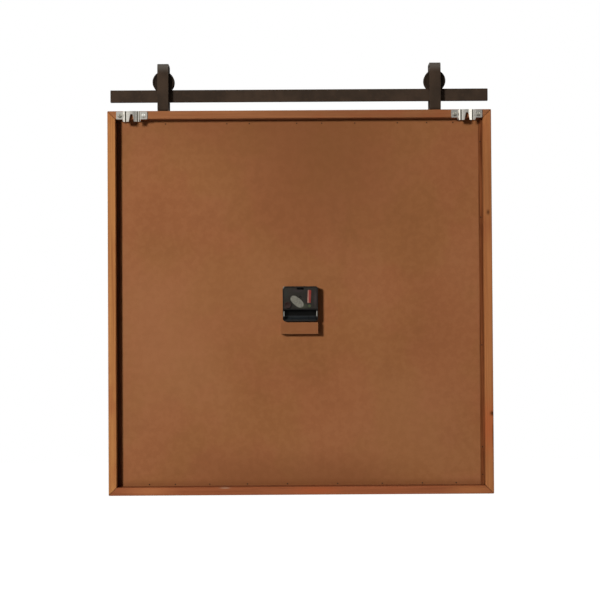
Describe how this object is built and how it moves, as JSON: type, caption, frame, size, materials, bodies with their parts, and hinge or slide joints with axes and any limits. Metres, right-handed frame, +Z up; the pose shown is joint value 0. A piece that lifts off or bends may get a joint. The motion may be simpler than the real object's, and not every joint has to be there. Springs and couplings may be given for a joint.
{
  "type": "wall clock",
  "caption": "Square wall clock in the style of a barn door: plank face in a wooden frame, hung by straps from wheels on a rail, with a quartz movement behind.",
  "frame": {"origin": "in the wall's plane, midway between the two wall hangers, at the height of the two wall screws", "axes": "+Z up; +Y out of the back, towards the wall; the dial faces -Y; +X to the right of someone who faces the dial"},
  "size_m": [0.61, 0.05, 0.6865],
  "materials": {
    "frame_wood": "orange-brown stained softwood, satin",
    "panel_paint": "sprayed brown paint on board, matt",
    "batten_wood": "dark red-brown stain",
    "face_wood": "weathered planks, dry",
    "bronze_steel": "dark bronze powder coat",
    "zinc": "bright zinc plate",
    "black_plastic": "moulded black, satin",
    "brass": "turned brass",
    "white_plastic": "natural acetal",
    "rubber": "black foam rubber",
    "copper_wire": "enamelled copper winding",
    "board_green": "green solder mask",
    "hand_black": "black lacquer on sheet aluminium"
  },
  "bodies": {
    "clock_case": {"frame_top": "frame_wood", "frame_bottom": "frame_wood", "frame_left": "frame_wood", "frame_right": "frame_wood", "back_panel": "panel_paint", "stop_block": "panel_paint", "batten_left": "batten_wood", "batten_right": "batten_wood", "plank_1": "face_wood", "plank_2": "face_wood", "plank_3": "face_wood", "plank_4": "face_wood", "plank_5": "face_wood", "rail": "bronze_steel", "strap_left": "bronze_steel", "axle_bolt_left": "bronze_steel", "axle_nut_left": "bronze_steel", "rail_spacer_left": "bronze_steel", "rail_screw_left": "bronze_steel", "strap_right": "bronze_steel", "axle_bolt_right": "bronze_steel", "axle_nut_right": "bronze_steel", "rail_spacer_right": "bronze_steel", "rail_screw_right": "bronze_steel", "strap_bolt_left_upper": "bronze_steel", "strap_bolt_left_lower": "bronze_steel", "strap_bolt_right_upper": "bronze_steel", "strap_bolt_right_lower": "bronze_steel", "hanger_left": "zinc", "hanger_right": "zinc", "hanger_screw_left_a": "zinc", "hanger_screw_left_b": "zinc", "hanger_screw_right_a": "zinc", "hanger_screw_right_b": "zinc", "contact_negative": "zinc", "contact_positive": "zinc", "stator": "zinc", "movement_case": "black_plastic", "movement_cover": "black_plastic", "shaft_bushing": "brass", "dial_washer": "brass", "dial_nut": "brass", "gasket": "rubber", "coil": "copper_wire", "circuit_board": "board_green"},
    "minute_hands": {"minute_arbor": "brass", "minute_hand": "hand_black", "hand_cap": "hand_black"},
    "hour_hands": {"hour_wheel": "white_plastic", "hour_hand": "hand_black"},
    "minute_wheel_body": {"minute_wheel": "white_plastic"},
    "knob": {"set_knob": "black_plastic"},
    "rotor_body": {"rotor": "zinc"},
    "roller_left": {"wheel_left": "bronze_steel"},
    "roller_right": {"wheel_right": "bronze_steel"}
  },
  "joints": [
    {"name": "minute_hand_turn", "type": "hinge", "parent": "clock_case", "child": "minute_hands", "pos_m": [0, -0.0456, -0.29715], "axis": [0, 1, 0], "continuous": true},
    {"name": "hour_hand_turn", "type": "hinge", "parent": "clock_case", "child": "hour_hands", "pos_m": [0, -0.0424, -0.29715], "axis": [0, 1, 0], "continuous": true},
    {"name": "minute_wheel_turn", "type": "hinge", "parent": "clock_case", "child": "minute_wheel_body", "pos_m": [0.00984, -0.0154, -0.29888], "axis": [0, 1, 0], "continuous": true},
    {"name": "set_knob_turn", "type": "hinge", "parent": "clock_case", "child": "knob", "pos_m": [0.0199, -0.0046, -0.30185], "axis": [0, 1, 0], "continuous": true},
    {"name": "rotor_turn", "type": "hinge", "parent": "clock_case", "child": "rotor_body", "pos_m": [-0.0165, -0.0103, -0.29115], "axis": [0, 1, 0], "continuous": true},
    {"name": "wheel_left_spin", "type": "hinge", "parent": "clock_case", "child": "roller_left", "pos_m": [-0.217, -0.0254, 0.05625], "axis": [0, 1, 0], "continuous": true},
    {"name": "wheel_right_spin", "type": "hinge", "parent": "clock_case", "child": "roller_right", "pos_m": [0.217, -0.0254, 0.05625], "axis": [0, 1, 0], "continuous": true}
  ],
  "couplings": [
    {"joint": "hour_hand_turn", "follows": "minute_hand_turn", "ratio": 0.083333},
    {"joint": "minute_wheel_turn", "follows": "minute_hand_turn", "ratio": -0.33333},
    {"joint": "set_knob_turn", "follows": "minute_hand_turn", "ratio": 0.83333}
  ]
}
